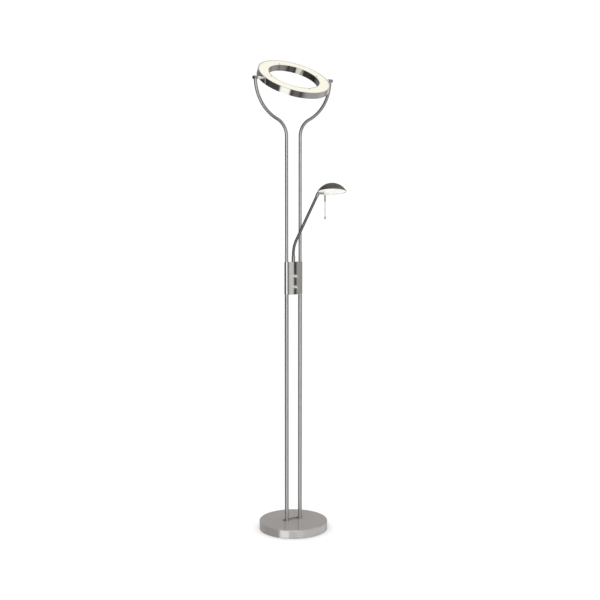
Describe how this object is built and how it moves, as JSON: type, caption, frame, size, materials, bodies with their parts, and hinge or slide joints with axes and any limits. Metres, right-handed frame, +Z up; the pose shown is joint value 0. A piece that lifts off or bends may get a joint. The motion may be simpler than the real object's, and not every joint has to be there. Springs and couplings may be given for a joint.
{
  "type": "torchiere floor lamp",
  "caption": "Tall floor lamp with a round base, twin poles opening into a yoke that holds a tilting ring uplight, and a domed reading light on a flexible neck.",
  "frame": {"origin": "centre of the base's underside, on the floor", "axes": "+Z up; +X towards the right-hand pole; -Y towards the front, where the dimmer knobs are"},
  "size_m": [0.3517, 0.2664, 1.7982],
  "materials": {
    "brushed_nickel": "fine brushed, satin",
    "housing_nickel": "satin, brushed lengthwise",
    "polished_nickel": "polished",
    "neck_hose": "spiral-wound, satin",
    "zinc_steel": "zinc plated",
    "cast_iron": "as cast",
    "pad_rubber": "matt foam rubber",
    "black_plastic": "matt",
    "lead_insulation": "satin sheath",
    "circuit_board": "solder mask",
    "led_aluminium": "bare, milled",
    "opal_acrylic": "opal, satin, glowing",
    "frosted_glass": "frosted, glowing",
    "clear_acrylic": "clear, polished",
    "white_enamel": "white enamel"
  },
  "bodies": {
    "stand": {"base_pad": "pad_rubber", "base_plate": "zinc_steel", "base_weight": "cast_iron", "base_cover": "brushed_nickel", "cord_gland": "black_plastic", "base_nipples": "zinc_steel", "base_nuts": "zinc_steel", "base_washers": "zinc_steel", "foot_inserts": "zinc_steel", "foot_bar": "brushed_nickel", "lower_pole_left": "brushed_nickel", "lower_pole_right": "brushed_nickel", "upper_pole_left": "brushed_nickel", "upper_pole_right": "brushed_nickel", "yoke_knuckle_left": "brushed_nickel", "yoke_knuckle_right": "brushed_nickel", "mains_lead": "lead_insulation", "ring_lead": "lead_insulation", "housing_shell": "housing_nickel", "housing_rear_cover": "housing_nickel", "rear_cover_screws": "zinc_steel", "housing_top_plate": "housing_nickel", "housing_bottom_plate": "housing_nickel", "dimmer_main": "black_plastic", "dimmer_reading": "black_plastic", "dimmer_nuts": "zinc_steel", "dimmer_board": "circuit_board", "driver_components": "circuit_board", "neck_nipple": "zinc_steel", "neck_nut": "zinc_steel", "neck_collar": "polished_nickel"},
    "ring": {"ring_channel": "brushed_nickel", "ring_diffuser": "opal_acrylic", "ring_led_board": "led_aluminium", "ring_standoffs": "zinc_steel", "diffuser_screws": "zinc_steel", "pivot_pins": "zinc_steel", "pivot_spacers": "brushed_nickel", "friction_washers": "black_plastic", "pivot_caps": "black_plastic", "pivot_nuts": "zinc_steel"},
    "main_dimmer": {"knob_main": "polished_nickel", "shaft_main": "zinc_steel"},
    "reading_dimmer": {"knob_reading": "polished_nickel", "shaft_reading": "zinc_steel"},
    "neck_base": {"neck_lower": "neck_hose"},
    "neck_mid": {"neck_middle": "neck_hose"},
    "neck_top": {"neck_upper": "neck_hose", "neck_elbow": "polished_nickel"},
    "head": {"hinge_block": "polished_nickel", "stem_screw": "zinc_steel", "dome_shade": "brushed_nickel", "retaining_ring": "zinc_steel", "cover_glass": "frosted_glass", "reflector_tray": "white_enamel", "reading_led_board": "led_aluminium", "heat_sink": "led_aluminium", "rod_ferrule": "polished_nickel", "handle_rod": "clear_acrylic", "rod_tip": "polished_nickel"}
  },
  "joints": [
    {"name": "ring_tilt", "type": "hinge", "parent": "stand", "child": "ring", "pos_m": [0, 0, 1.72], "axis": [1, 0, 0], "range_deg": [-119.5, 150.5]},
    {"name": "main_dimmer_turn", "type": "hinge", "parent": "stand", "child": "main_dimmer", "pos_m": [0, -0.02, 0.986], "axis": [0, -1, 0], "range_deg": [0, 300]},
    {"name": "reading_dimmer_turn", "type": "hinge", "parent": "stand", "child": "reading_dimmer", "pos_m": [0, -0.02, 0.945], "axis": [0, -1, 0], "range_deg": [0, 300]},
    {"name": "neck_turn", "type": "hinge", "parent": "stand", "child": "neck_base", "pos_m": [0, 0, 1.057], "axis": [0, 0, 1], "range_deg": [-119, 7]},
    {"name": "neck_bend_low", "type": "hinge", "parent": "neck_base", "child": "neck_mid", "pos_m": [0.00248, -0.00153, 1.09762], "axis": [0.524, 0.8517, 0], "range_deg": [-8, 45]},
    {"name": "neck_bend_high", "type": "hinge", "parent": "neck_mid", "child": "neck_top", "pos_m": [0.05481, -0.03372, 1.23627], "axis": [0.524, 0.8517, 0], "range_deg": [-12, 45]},
    {"name": "head_roll", "type": "hinge", "parent": "neck_top", "child": "head", "pos_m": [0.07929, -0.04878, 1.2979], "axis": [0.8517, -0.524, 0], "range_deg": [-45, 70]}
  ]
}
